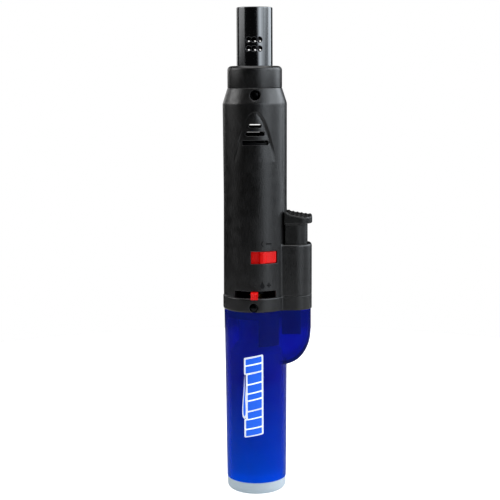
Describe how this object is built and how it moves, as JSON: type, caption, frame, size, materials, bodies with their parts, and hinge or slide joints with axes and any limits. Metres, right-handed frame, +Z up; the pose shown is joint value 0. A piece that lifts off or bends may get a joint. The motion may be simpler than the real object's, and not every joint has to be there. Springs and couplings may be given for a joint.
{
  "type": "butane stick torch",
  "caption": "Refillable butane stick torch for lampwork: flame tube on a long housing, side pod with thumb igniter button, lock slider, flame lever and translucent fuel tank sleeve.",
  "frame": {"origin": "centre of the tank's foot, on the plane that the torch stands on", "axes": "+Z up along the torch towards the flame tube, +X towards the pod with the thumb button, -Y to the front with the lock window and lever slot"},
  "size_m": [0.0374, 0.0291, 0.203],
  "materials": {
    "housing_plastic": "fine-textured matte black moulding",
    "button_plastic": "satin black moulding",
    "inner_plastic": "satin black moulding",
    "blue_translucent": "frosted translucent blue",
    "clear_plastic": "frosted clear",
    "red_plastic": "satin red",
    "pale_plastic": "natural",
    "hose_plastic": "milky flexible tube",
    "wire_insulation": "silicone insulation",
    "black_chrome": "polished black chrome",
    "valve_brass": "turned",
    "small_steel": "bright",
    "screw_steel": "black oxide",
    "cast_metal": "die cast",
    "seal_rubber": "smooth",
    "white_ceramic": "fired"
  },
  "bodies": {
    "torch_body": {"main_housing": "housing_plastic", "nozzle_cap": "housing_plastic", "collar_ring": "housing_plastic", "inner_chassis": "inner_plastic", "tank_sleeve": "blue_translucent", "fuel_tank": "clear_plastic", "tank_cap": "inner_plastic", "cap_oring": "seal_rubber", "fill_valve_body": "valve_brass", "fill_valve_seal": "seal_rubber", "fill_spring": "small_steel", "outlet_valve_body": "valve_brass", "valve_seat": "small_steel", "valve_filter": "white_ceramic", "valve_spring": "small_steel", "rocker_pin": "small_steel", "piezo_case": "inner_plastic", "piezo_spring": "small_steel", "piezo_hammer": "small_steel", "piezo_crystal": "white_ceramic", "ignition_wire": "wire_insulation", "gas_hose": "hose_plastic", "chamber_floor": "inner_plastic", "burner_mount": "cast_metal", "jet_nozzle": "valve_brass", "mixing_tube": "valve_brass", "burner_head": "small_steel", "flame_ring": "screw_steel", "flame_tube": "black_chrome", "electrode_insulator": "white_ceramic", "electrode": "small_steel", "collar_screw": "screw_steel", "nose_screw": "screw_steel"},
    "button": {"thumb_button": "button_plastic", "piezo_plunger": "pale_plastic"},
    "rocker": {"gas_rocker": "cast_metal"},
    "stem": {"valve_stem": "valve_brass"},
    "lock": {"lock_slider": "red_plastic"},
    "flame_adjuster": {"flame_lever": "red_plastic"},
    "filler_pin": {"fill_pin": "small_steel"}
  },
  "joints": [
    {"name": "button_press", "type": "slide", "parent": "torch_body", "child": "button", "axis": [0, 0, -1], "range_m": [0, 0.0055], "stiffness_N_per_m": 1500, "springref_m": -0.002, "deforming": ["piezo_spring"]},
    {"name": "rocker_turn", "type": "hinge", "parent": "torch_body", "child": "rocker", "pos_m": [0.0068, 0, 0.091], "axis": [0, 1, 0], "range_deg": [0, 8.05]},
    {"name": "stem_lift", "type": "slide", "parent": "torch_body", "child": "stem", "axis": [0, 0, 1], "range_m": [0, 0.00095], "deforming": ["valve_spring"]},
    {"name": "lock_slide", "type": "hinge", "parent": "torch_body", "child": "lock", "pos_m": [0, 0, 0.10125], "axis": [0, 0, 1], "range_deg": [-13, 0]},
    {"name": "flame_adjust", "type": "hinge", "parent": "torch_body", "child": "flame_adjuster", "pos_m": [0, 0, 0.086], "axis": [0, 0, 1], "range_deg": [-29, 32]},
    {"name": "fill_pin_push", "type": "slide", "parent": "torch_body", "child": "filler_pin", "axis": [0, 0, 1], "range_m": [0, 0.0015], "stiffness_N_per_m": 1000, "springref_m": -0.001, "deforming": ["fill_spring"]}
  ],
  "couplings": [
    {"joint": "rocker_turn", "follows": "button_press", "rad_per_m": 25.386},
    {"joint": "stem_lift", "follows": "button_press", "ratio": 0.172}
  ]
}
